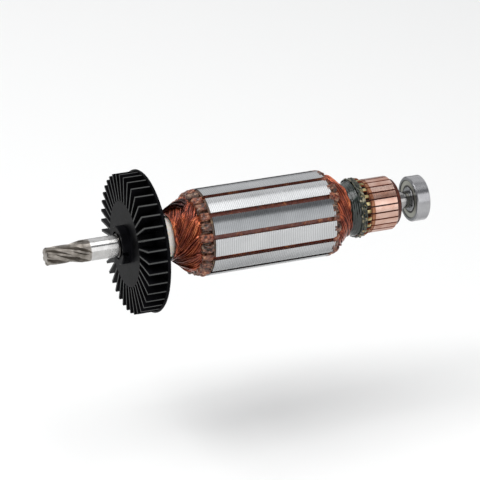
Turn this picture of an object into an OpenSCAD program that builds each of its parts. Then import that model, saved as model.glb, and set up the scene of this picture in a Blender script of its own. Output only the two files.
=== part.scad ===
// Armature of a small universal motor, with its fan, pinion and rear ball bearing.
// The shaft lies along X, with the pinion at -X and the bearing at +X.
// The origin is the middle of the rear bearing, and +Z is up.
// Angles run from +Y towards +Z, and lengths along the shaft add up from the bearing.

/* [Shaft] */
// Diameter of the journal that carries the rear bearing
rear_journal_d = 7; // [6:0.1:7.5]
// How far the shaft's end stands out of the rear bearing
rear_end_out = 0.6; // [0.2:0.1:3]
// Diameter of the seat that the commutator is pressed on
commutator_seat_d = 8.2; // [7.6:0.1:9]
// Diameter of the seat that the core is pressed on
core_seat_d = 10.4; // [9.6:0.1:11]
// Diameter of the seat that the fan is pressed on
fan_seat_d = 9.6; // [9.2:0.1:10.4]
// Diameter of the plain journal for the drive-end bearing
drive_journal_d = 9; // [8:0.1:9.2]
// Length of that journal between the fan's boss and the pinion's run-out
drive_journal_l = 11.2; // [8:0.1:20]
// Chamfer on the shaft's ends
shaft_chamfer = 0.4; // [0.1:0.05:0.8]

/* [Pinion] */
// Number of teeth
pinion_teeth = 6; // [5:1:8]
// Diameter over the teeth
pinion_tip_d = 7.3; // [6.6:0.1:8]
// Diameter at the bottom of the teeth
pinion_root_d = 4.7; // [4:0.1:5.2]
// Length of the hobbed stretch, run-out included
pinion_l = 18.9; // [14:0.1:26]
// Length of the run-out, where the cutter left the steel
runout_l = 5.6; // [4:0.1:8]
// Length of the slope from the journal down to the teeth
blank_slope_l = 4; // [2:0.1:6]
// Length between that slope and the middle of the run-out
blank_land_l = 1.4; // [0.5:0.1:2.4]
// How far the hobbed stretch lies below the ground journal
ground_step = 0.05; // [0.03:0.01:0.2]
// Length of the slope down from the ground journal
ground_slope_l = 0.7; // [0.6:0.1:1]
// Length along the shaft in which a tooth goes once round
tooth_lead = 48; // [40:1:80]
// Share of the pitch that a gap takes at the teeth's tips
gap_tip_share = 0.62; // [0.5:0.01:0.7]
// Share of the pitch that a gap takes at the teeth's roots
gap_root_share = 0.34; // [0.2:0.01:0.4]
// Angle of the gaps where their run-out starts
pinion_turn = 32; // [0:0.5:60]

/* [Fan] */
// Number of blades
blade_count = 39; // [24:1:42]
// Radius of the blades' outer corners
blade_r = 28.45; // [24:0.05:32]
// Thickness of a blade
blade_t = 1; // [0.7:0.05:1.2]
// Width of the blades, from the back plate to the front plane
blade_w = 7.8; // [5:0.1:12]
// Angle of the first blade
blade_turn = 8.1; // [0:0.1:15]
// How far the blades are moved round from an even spacing, at most
blade_swing = 1.5; // [0:0.1:2]
// Thickness of the back plate
fan_plate_t = 1.2; // [1:0.1:2]
// How far the back plate's rim stands out past the blades
fan_rim_out = 0.6; // [0.3:0.05:1.5]
// Radius at which the back plate starts to slope back
fan_slope_r = 21.4; // [20:0.1:23]
// Radius at which that slope ends
fan_slope_end_r = 26.7; // [24:0.1:27.5]
// Depth of that slope
fan_slope_h = 1.5; // [0.5:0.1:2]
// Outer radius of the cup-shaped hub
fan_cup_r = 17.4; // [14:0.1:19]
// Wall of the cup-shaped hub
fan_cup_wall = 1.6; // [1.2:0.1:2.4]
// Radius of the boss round the shaft
fan_boss_r = 7.8; // [7:0.1:10]
// How far the boss stands out of the front plane
fan_boss_out = 3.2; // [1:0.1:5]
// Radius of the shallow recess in the boss's face
fan_recess_r = 5.7; // [5.2:0.1:6.6]
// Depth of that recess
fan_recess_h = 0.5; // [0.2:0.1:1]
// Number of ribs inside the cup
fan_rib_count = 6; // [3:1:12]
// Width of the timing notch in the boss
fan_notch_w = 1.6; // [1:0.1:2.4]
// Depth of the timing notch, along the radius
fan_notch_h = 1.5; // [0.8:0.1:1.8]
// Angle of the timing notch
fan_notch_turn = 187; // [0:1:359]

/* [Insulating sleeves] */
// Radius of the front sleeve, between fan and core
front_sleeve_r = 8; // [7:0.1:9]
// Length of the front sleeve that shows between fan and winding
sleeve_show = 9.1; // [4:0.1:16]
// Radius of the rear sleeve, under the rear winding head
rear_sleeve_r = 6.4; // [6:0.1:7]

/* [Core] */
// Radius of the lamination stack
core_r = 17.8; // [17.2:0.1:19]
// Length of the lamination stack
core_l = 52.5; // [36:0.5:80]
// Number of slots
slot_count = 12; // [12:1:12]
// Angle of the first slot
slot_turn = 15.5; // [0:0.5:30]
// Width of a tooth between two slots
tooth_w = 3.2; // [2.8:0.1:3.6]
// Radius of the slots' bottoms
slot_root_r = 9.3; // [9:0.1:9.8]
// Width of a slot's mouth
slot_mouth_w = 1.9; // [1.4:0.1:2.4]
// Thickness of the tooth tips beside the mouth
tooth_tip_t = 1.25; // [1:0.05:1.6]
// Height of the slope under the tooth tips
slot_shoulder_h = 0.35; // [0.1:0.05:0.6]
// Thickness of an end insulator
end_insulator_t = 0.8; // [0.5:0.1:1.5]
// How far an end insulator's edge lies inside the core's
end_insulator_in = 0.5; // [0.2:0.1:1]

/* [Slot parts] */
// Thickness of the slot paper
paper_t = 0.25; // [0.2:0.05:0.35]
// How far the slot paper stands out of the front of the core
paper_out_front = 4.2; // [2:0.1:5]
// How far the slot paper stands out of the rear of the core
paper_out_rear = 1.8; // [1.2:0.1:2.4]
// Thickness of a slot wedge
wedge_t = 0.5; // [0.4:0.05:0.7]
// How much narrower each side of a wedge is at its top
wedge_slope = 0.35; // [0.2:0.05:0.6]
// How far a wedge stands out of each end of the core
wedge_out = 1; // [0.2:0.1:1.6]

/* [Windings] */
// Slots from a coil's lower side to its upper side
coil_span = 5; // [5:1:5]
// Depth of the lower coil side in its slot
lower_side_h = 3.5; // [3:0.1:3.7]
// Depth of the upper coil side in its slot
upper_side_h = 2.1; // [1.8:0.1:2.3]
// How far the front winding head stands out of the core
front_head_l = 14.2; // [12:0.1:18]
// How far the rear winding head stands out of the core
rear_head_l = 9.9; // [9:0.1:13]
// Width of a coil at the front head's nose
front_nose_w = 1.8; // [1.4:0.1:2.2]
// Width of a coil at the rear head's nose
rear_nose_w = 1.4; // [1.2:0.1:1.8]
// How far a coil runs straight on past the slot papers
coil_straight = 0.4; // [0.2:0.1:0.8]
// Greatest width of a coil in the heads
head_coil_w = 3.6; // [2.6:0.1:4]
// Share of the room between its neighbours that a coil fills
coil_fill = 0.72; // [0.5:0.01:0.8]
// Depth of a coil where it leaves its slot
head_coil_h = 2.1; // [1.6:0.1:2.3]
// Depth of a coil at a head's nose
nose_coil_h = 1.6; // [1.2:0.1:1.8]

/* [Commutator] */
// Number of bars
bar_count = 24; // [24:1:24]
// Radius of the brush track
track_r = 11.2; // [10.9:0.1:12]
// Length of the brush track
track_l = 10.7; // [6:0.1:18]
// Length of the bars between the track and the hooks
neck_l = 1.6; // [0.8:0.1:3]
// Width of the gap between two bars
bar_gap = 0.6; // [0.4:0.05:0.8]
// Radius of the bars' undersides
bar_floor_r = 7.6; // [7.2:0.1:8]
// Height of a bar's dovetail foot
bar_foot_h = 1.1; // [0.8:0.1:1.3]
// Width of the foot where it meets the bar
bar_neck_w = 0.8; // [0.6:0.05:1]
// Width of the foot at its bottom
bar_foot_w = 1.24; // [1:0.02:1.3]
// Depth of the undercut between two bars
undercut = 0.7; // [0.4:0.05:0.9]
// Angle of the first bar's middle
bar_turn = 2.5; // [0:0.5:15]
// How far the hub's lip stands out of the bars
hub_lip_l = 2; // [1:0.1:3]
// Clear length between the hub's lip and the rear bearing
bearing_gap = 7.2; // [4:0.1:12]
// How far the hub stands out of the bars' hooked ends
hub_skirt_l = 0.9; // [0.5:0.1:1.5]
// Radius of that end of the hub
hub_skirt_r = 8.2; // [8:0.1:8.6]
// Length of the hooked stretch
hook_l = 4.4; // [3.6:0.1:6]
// Radius over the hooks
hook_r = 12.2; // [12:0.1:12.8]
// Thickness of a hook
hook_t = 0.8; // [0.6:0.05:0.9]
// Width of a hook
hook_w = 1.3; // [1:0.05:1.4]
// Diameter of the winding wire that each hook holds
wire_d = 0.6; // [0.5:0.05:0.65]

/* [Twine band] */
// Length of the band, from the hooks to the rear winding head
band_l = 4.5; // [3.5:0.1:7]
// Radius of the band beside the hooks
band_big_r = 12; // [11.8:0.1:12.4]
// Radius of the band beside the rear winding head
band_small_r = 9.9; // [9.8:0.1:10.4]
// Resin over the leads inside the band
band_skin_t = 0.35; // [0.2:0.05:0.5]

/* [Rear bearing] */
// Outer diameter of the bearing
bearing_d = 19; // [18.8:0.1:22]
// Width of the bearing
bearing_w = 6; // [5.8:0.1:8]
// Diameter of a ball
ball_d = 3.969; // [3.5:0.001:4.1]
// Number of balls
ball_count = 7; // [6:1:8]
// Diameter of the inner ring's shoulders
inner_ring_d = 10.2; // [9.8:0.1:10.6]
// Diameter of the outer ring's shoulders
outer_shoulder_d = 15.2; // [14.8:0.1:15.6]
// Diameter of the step that holds a shield
shield_seat_d = 16.2; // [16:0.1:16.4]
// Thickness of a shield
shield_t = 0.3; // [0.2:0.05:0.4]
// How far a shield lies inside the bearing's face
shield_in = 0.3; // [0.2:0.05:0.5]
// Clearance between a shield and the inner ring
shield_gap = 0.2; // [0.1:0.05:0.3]
// Thickness of the cage's steel
cage_t = 0.3; // [0.2:0.05:0.3]
// Width of the cage, along the radius
cage_w = 1.3; // [1:0.1:1.6]
// Chamfer on the rings' edges
ring_chamfer = 0.4; // [0.2:0.05:0.6]

/* [Fits] */
// Clearance round parts that are pressed or glued together
press_gap = 0.01; // [0.005:0.005:0.03]
// Clearance between a ball and its races
ball_gap = 0.02; // [0.01:0.005:0.05]
// Clearance between loose neighbours, such as wire and paper
loose_gap = 0.05; // [0.03:0.01:0.1]

/* [Hidden] */
// Places along the shaft, from the rear bearing to the pinion's tip
bearing_face_x = -bearing_w / 2;
hub_end_x = bearing_face_x - bearing_gap;
bar_end_x = hub_end_x - hub_lip_l;
neck_x = bar_end_x - track_l;
hook_x = neck_x - neck_l;
bar_root_x = hook_x - hook_l;
rear_nose_x = bar_root_x - band_l;
core_rear_x = rear_nose_x - rear_head_l;
core_front_x = core_rear_x - core_l;
front_nose_x = core_front_x - front_head_l;
fan_rear_x = front_nose_x - sleeve_show;
plate_front_x = fan_rear_x - fan_plate_t;
fan_front_x = plate_front_x - blade_w;
boss_face_x = fan_front_x - fan_boss_out;
runout_x = boss_face_x - drive_journal_l;
tip_x = runout_x - pinion_l;
rear_tip_x = bearing_w / 2 + rear_end_out;
paper_rear_x = core_rear_x + paper_out_rear;
paper_front_x = core_front_x - paper_out_front;
hub_rear_x = bar_root_x - hub_skirt_l;

// Shaft: slope between two diameters, how far a seat stands out of its part or stops inside it,
// and the clear length between the core's seat and the commutator
step_slope_l = 0.4;
seat_out = 0.2;
seat_in = 0.8;
core_seat_gap = 1;

// Slots: half a slot's width at a radius, with its walls moved in by a gap
slot_pitch = 360 / slot_count;
half_pitch = slot_pitch / 2;
slot_top_r = core_r - tooth_tip_t;
shoulder_r = slot_top_r - slot_shoulder_h;
function slot_half_w(r, gap) = r * tan(half_pitch) - (tooth_w / 2 + gap) / cos(half_pitch);
function slot_round_r(gap) = ((slot_root_r + gap) * sin(half_pitch) - tooth_w / 2 - gap)
    / (1 - sin(half_pitch));
side_gap = paper_t + 2 * loose_gap;

// Coil sides in the slots, from the bottom up
lower_side_r = slot_root_r + side_gap + 0.1;
lower_top_r = lower_side_r + lower_side_h;
wedge_top_r = shoulder_r - loose_gap;
wedge_floor_r = wedge_top_r - wedge_t;
upper_top_r = wedge_floor_r - loose_gap;
upper_side_r = upper_top_r - upper_side_h;
lower_mid_r = (lower_side_r + lower_top_r) / 2;
upper_mid_r = (upper_side_r + upper_top_r) / 2;
coil_corner = 0.5;
turn_half = coil_span * slot_pitch / 2;
function side_w(r) = 2 * (slot_half_w(r, side_gap) - loose_gap);

// Commutator
bar_pitch = 360 / bar_count;
wire_seat_r = hook_r - hook_t - wire_d - 2 * loose_gap;
wire_r = wire_seat_r + loose_gap + wire_d / 2;
lead_end_r = band_small_r - band_skin_t - wire_d / 2;

// Rear bearing
pitch_out = 0.15;
pitch_r = (inner_ring_d + outer_shoulder_d) / 4 + pitch_out;
race_r = ball_d / 2 + ball_gap;
cage_in_r = pitch_r - cage_w / 2;
cage_out_r = pitch_r + cage_w / 2;

coil_names = [for (k = [1 : slot_count]) str("coil_", k < 10 ? "0" : "", k)];
bar_names = [for (k = [1 : bar_count]) str("commutator_bar_", k < 10 ? "0" : "", k)];

steel = [0.72, 0.72, 0.74];
dark_steel = [0.55, 0.54, 0.52];
black_plastic = [0.09, 0.09, 0.1];
cream = [0.92, 0.89, 0.84];
paper_brown = [0.5, 0.42, 0.32];
wedge_brown = [0.35, 0.15, 0.08];
enamel_copper = [0.72, 0.33, 0.16];
bare_copper = [0.85, 0.6, 0.5];
phenolic = [0.24, 0.14, 0.13];
green_resin = [0.1, 0.15, 0.12];

function smooth(u) = let (v = min(1, max(0, u))) v * v * (3 - 2 * v);
function mix(a, b, u) = a + (b - a) * u;
function unit(v) = v / norm(v);
function reversed(list) = [for (k = [len(list) - 1 : -1 : 0]) list[k]];

// Places what is drawn along Z so that it lies along the shaft, starting at x
module along_shaft(x) translate([x, 0, 0]) rotate([90, 0, 90]) children();

// A turned solid from [radius, x] points
module turned(points) rotate([90, 0, 90]) rotate_extrude($fn = 96) polygon(points);

// ---- Shaft ----

// The blank that the pinion is cut in, from the tip to the journal
module pinion_blank() {
    tip = pinion_tip_d / 2;
    hobbed = drive_journal_d / 2 - ground_step;
    slope_end_x = runout_x - runout_l / 2 - blank_land_l;
    turned([[0, tip_x], [tip - shaft_chamfer, tip_x], [tip, tip_x + shaft_chamfer],
            [tip, slope_end_x - blank_slope_l], [hobbed, slope_end_x],
            [hobbed, runout_x - ground_slope_l], [drive_journal_d / 2, runout_x], [0, runout_x]]);
}

// Half the width of a tooth gap at a radius, as an angle
function gap_half_angle(r) = 180 / pinion_teeth * mix(gap_root_share, gap_tip_share,
    (r - pinion_root_d / 2) / (pinion_tip_d - pinion_root_d) * 2);

// One tooth gap's cross-section, with flanks that bow out from root to tip
module gap_section() {
    root = pinion_root_d / 2;
    outside = drive_journal_d / 2 + 0.5;
    steps = 4;
    function edge(side) = [for (k = [0 : steps])
        let (r = mix(root, outside, k / steps),
             a = side * gap_half_angle(mix(root, min(r, pinion_tip_d / 2 + 0.3), pow(k / steps, 0.15))))
        [r * cos(a), r * sin(a)]];
    polygon(concat(edge(-1), reversed(edge(1))));
}

// The disc that a gap's run-out follows: the hob leaves the steel along its own rim
module runout_disc() {
    root = pinion_root_d / 2;
    depth = drive_journal_d / 2 - root;
    disc_r = (runout_l * runout_l + depth * depth) / (2 * depth);
    lean = atan(PI * (root + pinion_tip_d / 2) / tooth_lead);
    foot_w = root * sin(gap_half_angle(root));
    tip_w = pinion_tip_d / 2 * sin(gap_half_angle(pinion_tip_d / 2));
    reach = pinion_tip_d / 2 - root;
    translate([root + disc_r, 0, 0]) rotate([-90 - lean, 0, 0]) rotate_extrude($fn = 96)
        polygon([[disc_r, -foot_w], [disc_r, foot_w], [disc_r - reach, tip_w],
                 [disc_r - 2 * reach, tip_w * 1.1], [disc_r - 2 * reach, -tip_w * 1.1],
                 [disc_r - reach, -tip_w]]);
}

module pinion() {
    full_l = pinion_l - runout_l;
    twist = 360 * (full_l + 1) / tooth_lead;
    difference() {
        pinion_blank();
        along_shaft(tip_x - 1) rotate([0, 0, pinion_turn - twist])
            linear_extrude(height = full_l + 1, twist = -twist, slices = 22)
                for (k = [0 : pinion_teeth - 1]) rotate(k * 360 / pinion_teeth) gap_section();
        for (k = [0 : pinion_teeth - 1])
            along_shaft(tip_x + full_l) rotate([0, 0, pinion_turn + k * 360 / pinion_teeth])
                runout_disc();
    }
}

module shaft() color(steel) {
    journal = drive_journal_d / 2;
    rear = rear_journal_d / 2;
    union() {
        pinion();
        turned([[0, runout_x], [journal, runout_x],
                [journal, boss_face_x - seat_out - step_slope_l],
                [fan_seat_d / 2, boss_face_x - seat_out], [fan_seat_d / 2, fan_rear_x],
                [core_seat_d / 2, fan_rear_x], [core_seat_d / 2, hub_rear_x - core_seat_gap],
                [commutator_seat_d / 2, hub_rear_x - core_seat_gap],
                [commutator_seat_d / 2, hub_end_x - seat_in],
                [rear, hub_end_x - seat_in + step_slope_l],
                [rear, rear_tip_x - shaft_chamfer], [rear - shaft_chamfer, rear_tip_x],
                [0, rear_tip_x]]);
    }
}

// ---- Fan ----

// Angle of a blade; their spacing is uneven, closer on one side of the fan than on the other
function blade_angle(k) = let (even = blade_turn + k * 360 / blade_count)
    even - blade_swing * sin(even);

module fan_blades() {
    inner = fan_cup_r - fan_cup_wall / 2;
    seat_x = plate_front_x + fan_plate_t / 2;
    for (k = [0 : blade_count - 1])
        rotate([blade_angle(k), 0, 0]) translate([0, 0, -blade_t / 2])
            linear_extrude(blade_t)
                polygon([[fan_front_x, inner], [fan_front_x, blade_r], [seat_x, blade_r],
                         [seat_x, fan_slope_end_r], [seat_x - fan_slope_h, fan_slope_r],
                         [seat_x - fan_slope_h, inner]]);
}

module fan() color(black_plastic) {
    bore = fan_seat_d / 2 + press_gap;
    rim = blade_r + fan_rim_out;
    cup_in = fan_cup_r - fan_cup_wall;
    web = fan_cup_wall;
    difference() {
        union() {
            // Back plate, sloping back towards a rounded rim
            turned([[cup_in, plate_front_x - fan_slope_h], [fan_slope_r, plate_front_x - fan_slope_h],
                    [fan_slope_end_r, plate_front_x], [rim - 0.4, plate_front_x],
                    [rim - 0.1, plate_front_x + 0.2], [rim, plate_front_x + 0.5],
                    [rim, fan_rear_x - 0.4], [rim - 0.3, fan_rear_x],
                    [fan_slope_end_r, fan_rear_x], [fan_slope_r, fan_rear_x - fan_slope_h],
                    [cup_in, fan_rear_x - fan_slope_h]]);
            // Cup-shaped hub: side wall, front face and boss
            turned([[bore, boss_face_x], [fan_boss_r - 0.4, boss_face_x],
                    [fan_boss_r, boss_face_x + 0.4], [fan_boss_r, fan_front_x],
                    [fan_cup_r, fan_front_x], [fan_cup_r, fan_rear_x - fan_slope_h],
                    [cup_in, fan_rear_x - fan_slope_h], [cup_in, fan_front_x + web],
                    [fan_boss_r, fan_front_x + web], [fan_boss_r, fan_rear_x], [bore, fan_rear_x]]);
            fan_blades();
            for (k = [0 : fan_rib_count - 1])
                along_shaft(fan_front_x + web / 2)
                    rotate([0, 0, k * 360 / fan_rib_count])
                        translate([fan_boss_r - 0.5, -blade_t / 2, 0])
                            cube([cup_in - fan_boss_r + 1, blade_t, blade_w - fan_slope_h - web]);
        }
        turned([[0, boss_face_x - 1], [fan_recess_r, boss_face_x - 1],
                [fan_recess_r, boss_face_x + fan_recess_h], [0, boss_face_x + fan_recess_h]]);
        along_shaft(boss_face_x - 1) rotate([0, 0, fan_notch_turn])
            translate([fan_boss_r - fan_notch_h, -fan_notch_w / 2, 0])
                cube([fan_notch_h + 1, fan_notch_w, 1 + fan_boss_out * 0.7]);
    }
}

// ---- Insulating sleeves ----

module sleeve(from_x, to_x, r) {
    bore = core_seat_d / 2 + press_gap;
    turned([[bore, from_x], [r - 0.2, from_x], [r, from_x + 0.2],
            [r, to_x - 0.2], [r - 0.2, to_x], [bore, to_x]]);
}

module front_sleeve() color(cream)
    sleeve(fan_rear_x + press_gap, core_front_x - end_insulator_t - press_gap, front_sleeve_r);

module rear_sleeve() color(cream)
    sleeve(core_rear_x + end_insulator_t + press_gap, hub_rear_x - core_seat_gap - 0.2, rear_sleeve_r);

// ---- Core ----

// The round bottom of one slot, from wall to wall, with the walls moved in by a gap
function slot_bottom(gap) =
    let (round_r = slot_round_r(gap), mid_r = slot_root_r + gap + round_r, steps = 6)
    [for (k = [0 : steps]) let (a = 90 + half_pitch + k * (180 - slot_pitch) / steps)
        [mid_r + round_r * cos(a), round_r * sin(a)]];

// A slot's outline up to a radius
module slot_outline(gap, top_r)
    polygon(concat(slot_bottom(gap), [[top_r, -slot_half_w(top_r, gap)],
                                      [top_r, slot_half_w(top_r, gap)]]));

module core_section(r) {
    half_w = slot_half_w(shoulder_r, 0);
    mouth = slot_mouth_w / 2;
    difference() {
        circle(r = r, $fn = 180);
        circle(r = core_seat_d / 2 + press_gap, $fn = 96);
        for (k = [0 : slot_count - 1]) rotate(slot_turn + k * slot_pitch)
            polygon(concat(slot_bottom(0),
                [[shoulder_r, -half_w], [slot_top_r, -mouth], [core_r + 1, -mouth],
                 [core_r + 1, mouth], [slot_top_r, mouth], [shoulder_r, half_w]]));
    }
}

module lamination_stack() color(steel)
    along_shaft(core_front_x) linear_extrude(core_l) core_section(core_r);

module front_end_insulator() color(paper_brown)
    along_shaft(core_front_x - end_insulator_t) linear_extrude(end_insulator_t - press_gap)
        core_section(core_r - end_insulator_in);

module rear_end_insulator() color(paper_brown)
    along_shaft(core_rear_x + press_gap) linear_extrude(end_insulator_t - press_gap)
        core_section(core_r - end_insulator_in);

// ---- Slot papers and wedges ----

module slot_papers() color(paper_brown)
    for (k = [0 : slot_count - 1])
        along_shaft(paper_front_x) linear_extrude(paper_rear_x - paper_front_x)
            rotate(slot_turn + k * slot_pitch) difference() {
                slot_outline(loose_gap, wedge_top_r);
                slot_outline(loose_gap + paper_t, core_r);
            }

module slot_wedges() color(wedge_brown)
    for (k = [0 : slot_count - 1])
        along_shaft(core_front_x - wedge_out) linear_extrude(core_l + 2 * wedge_out)
            rotate(slot_turn + k * slot_pitch) {
                floor_w = slot_half_w(wedge_floor_r, side_gap);
                polygon([[wedge_floor_r, -floor_w], [wedge_top_r, wedge_slope - floor_w],
                         [wedge_top_r, floor_w - wedge_slope], [wedge_floor_r, floor_w]]);
            }

// ---- Windings ----
// A coil is one closed bundle. Its lower side lies at the bottom of one slot and its upper side
// at the top of another. In the heads it climbs away from the core in an inner layer, crosses over
// at the nose and comes back in an outer layer, so the twelve coils pass each other untouched.

// Share of the half turn made at step t, slow at first so that the coil leaves its slot straight
function turn_share(t) = (sqrt(t * t + 0.06) - sqrt(0.06)) / (sqrt(1.06) - sqrt(0.06));
// Share of the head's height reached at step t, rounded at the nose
function rise_share(t) = 1 - (sqrt((1 - t) * (1 - t) + 0.012) - sqrt(0.012))
    / (sqrt(1.012) - sqrt(0.012));

// Centre of a coil at step t of a head, from 0 at the lower side over 1 at the nose to 2:
// [angle, radius, height over its straight side's end]
function head_point(t, height, nose_in_r, nose_out_r) =
    let (u = t <= 1 ? t : 2 - t,
         angle = -turn_half * (t <= 1 ? turn_share(u) : 2 - turn_share(u)),
         h = rise_share(u),
         inner_r = mix(lower_mid_r, nose_in_r, h),
         outer_r = mix(upper_mid_r, nose_out_r, pow(h, 3)))
    [angle, mix(inner_r, outer_r, smooth((t - 0.92) / 0.16)), height * h];

// Widths at the foot and the top of the bundle, and its depth, at step t of a head. Out of the slots
// it spreads towards its neighbours, which lie a slot pitch further round.
function head_size(t, centre, along, nose_w) =
    let (u = t <= 1 ? t : 2 - t,
         room = coil_fill * abs(unit(along)[0]) * norm([centre[1], centre[2]]) * slot_pitch * PI / 180,
         w = min(head_coil_w, max(nose_w, room)),
         h = mix(head_coil_h, nose_coil_h, smooth((u - 0.4) / 0.4)),
         lower = [side_w(lower_side_r + coil_corner), side_w(lower_top_r - coil_corner), lower_side_h],
         upper = [side_w(upper_side_r + coil_corner), side_w(upper_top_r - coil_corner), upper_side_h])
    mix(t <= 1 ? lower : upper, [w, w, h], smooth(u / 0.22));

half_steps = [0, 0.08, 0.16, 0.26, 0.4, 0.55, 0.68, 0.79, 0.88, 0.95];
head_steps = concat(half_steps, [1], [for (t = reversed(half_steps)) 2 - t]);

function to_xyz(p, x, side) = [x + side * p[2], p[1] * cos(p[0]), p[1] * sin(p[0])];

// The eight points round the bundle at a centre, facing along the direction given
function bundle_ring(centre, along, size) =
    let (radial = unit([0, centre[1], centre[2]]),
         dir = unit(along),
         up = unit(radial - dir * (radial * dir)),
         across = cross(up, dir),
         w0 = size[0] / 2, w1 = size[1] / 2, h = size[2] / 2,
         c = min(coil_corner, w0 * 0.6))
    [for (p = [[-w0, c - h], [c - w0, -h], [w0 - c, -h], [w0, c - h],
               [w1, h - c], [w1 - c, h], [c - w1, h], [-w1, h - c]])
        centre + across * p[0] + up * p[1]];

// Rings of one head: side is -1 at the front and 1 at the rear
function head_rings(side, x, height, nose_w, in_r, out_r) =
    [for (t = head_steps)
        let (at = to_xyz(head_point(t, height, in_r, out_r), x, side),
             next = to_xyz(head_point(min(2, t + 0.01), height, in_r, out_r), x, side),
             last = to_xyz(head_point(max(0, t - 0.01), height, in_r, out_r), x, side),
             along = t == 0 ? [side, 0, 0] : t == 2 ? [-side, 0, 0] : next - last)
        bundle_ring(at, along, head_size(t, at, along, nose_w))];

front_height = front_head_l - paper_out_front - coil_straight - front_nose_w / 2;
rear_height = rear_head_l - paper_out_rear - coil_straight - rear_nose_w / 2;
// Room between a sleeve and the noses' inner layer, and between their two layers
front_nose_room = 0.3;
front_layer_room = 0.5;
rear_nose_room = 1.4;
rear_layer_room = 0.7;
front_in_r = front_sleeve_r + nose_coil_h / 2 + front_nose_room;
front_out_r = front_in_r + nose_coil_h + front_layer_room;
rear_in_r = rear_sleeve_r + nose_coil_h / 2 + rear_nose_room;
rear_out_r = rear_in_r + nose_coil_h + rear_layer_room;

module coil(k) color(enamel_copper) {
    front = head_rings(-1, paper_front_x - coil_straight, front_height, front_nose_w, front_in_r, front_out_r);
    rear = head_rings(1, paper_rear_x + coil_straight, rear_height, rear_nose_w, rear_in_r, rear_out_r);
    // The rear head is gone through from the upper side back to the lower one, so its rings
    // are mirrored across their width to keep every ring turning the same way.
    back = [for (ring = reversed(rear)) [for (j = [3, 2, 1, 0, 7, 6, 5, 4]) ring[j]]];
    rings = concat(front, back);
    n = len(rings);
    rotate([slot_turn + k * slot_pitch, 0, 0])
        polyhedron([for (ring = rings) each ring],
            [for (i = [0 : n - 1], j = [0 : 7])
                let (a = i * 8 + j, b = i * 8 + (j + 1) % 8,
                     c = ((i + 1) % n) * 8 + (j + 1) % 8, d = ((i + 1) % n) * 8 + j)
                each [[a, b, c], [a, c, d]]]);
}

// ---- Coil leads ----
// Each lead is a loop of wire: it comes out of the band beside a hook, runs round the hook's root
// and goes back into the band on the other side.

lead_sides = 6;
lead_bend = wire_d / 2 + 2 * loose_gap;
loop_x = bar_root_x + hook_t;
lead_rear_x = rear_nose_x + 0.3;

function lead_path() =
    let (side_y = hook_w / 2 + lead_bend,
         end_y = side_y * lead_end_r / wire_r,
         half = concat([[lead_rear_x, end_y, lead_end_r], [bar_root_x - 0.2, side_y, wire_r]],
                       [for (a = [0, 45, 90]) [loop_x + lead_bend * sin(a),
                                               hook_w / 2 + lead_bend * cos(a), wire_r]]))
    concat([for (p = half) [p[0], -p[1], p[2]]], reversed(half));

// The six points round the wire at a bend, square to the mean of the two directions
function wire_ring(path, i) =
    let (here = path[i],
         before = i > 0 ? unit(here - path[i - 1]) : undef,
         after = i < len(path) - 1 ? unit(path[i + 1] - here) : undef,
         dir = unit(i == 0 ? after : i == len(path) - 1 ? before : before + after),
         up = unit([0, 0, 1] - dir * dir[2]),
         across = cross(up, dir))
    [for (j = [0 : lead_sides - 1])
        let (a = j * 360 / lead_sides)
        here + wire_d / 2 * (cos(a) * across + sin(a) * up)];

module lead(k) {
    path = lead_path();
    n = len(path);
    m = lead_sides;
    rotate([bar_turn + k * bar_pitch - 90, 0, 0])
        polyhedron([for (i = [0 : n - 1]) each wire_ring(path, i)],
            concat([[for (j = [m - 1 : -1 : 0]) j]], [[for (j = [0 : m - 1]) (n - 1) * m + j]],
                [for (i = [0 : n - 2], j = [0 : m - 1])
                    let (a = i * m + j, b = i * m + (j + 1) % m)
                    each [[a, b, b + m], [a, b + m, a + m]]]));
}

module coil_leads() color(enamel_copper) for (k = [0 : bar_count - 1]) lead(k);

// ---- Twine band ----

module twine_band() color(green_resin) {
    wall_gap = wire_d / 2 + loose_gap + 0.05;
    turned([[wire_r + wall_gap, bar_root_x - 0.25], [band_big_r - 0.4, bar_root_x - 0.1],
            [band_big_r, bar_root_x - 0.7], [band_big_r - 0.2, bar_root_x - 1.3],
            [band_small_r + 0.3, lead_rear_x + 0.9], [band_small_r, lead_rear_x],
            [lead_end_r + wall_gap, lead_rear_x]]);
}

// ---- Commutator ----

// A bar's cross-section, with its middle on the X axis and a dovetail foot
module bar_section(gap) {
    function bar_half_w(r) = r * sin(bar_pitch / 2) - bar_gap / 2;
    foot_r = bar_floor_r - bar_foot_h;
    polygon([[track_r + 1, -bar_half_w(track_r + 1) - gap],
             [bar_floor_r - gap, -bar_half_w(bar_floor_r) - gap],
             [bar_floor_r - gap, -bar_neck_w / 2 - gap], [foot_r - gap, -bar_foot_w / 2 - gap],
             [foot_r - gap, bar_foot_w / 2 + gap], [bar_floor_r - gap, bar_neck_w / 2 + gap],
             [bar_floor_r - gap, bar_half_w(bar_floor_r) + gap],
             [track_r + 1, bar_half_w(track_r + 1) + gap]]);
}

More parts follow.
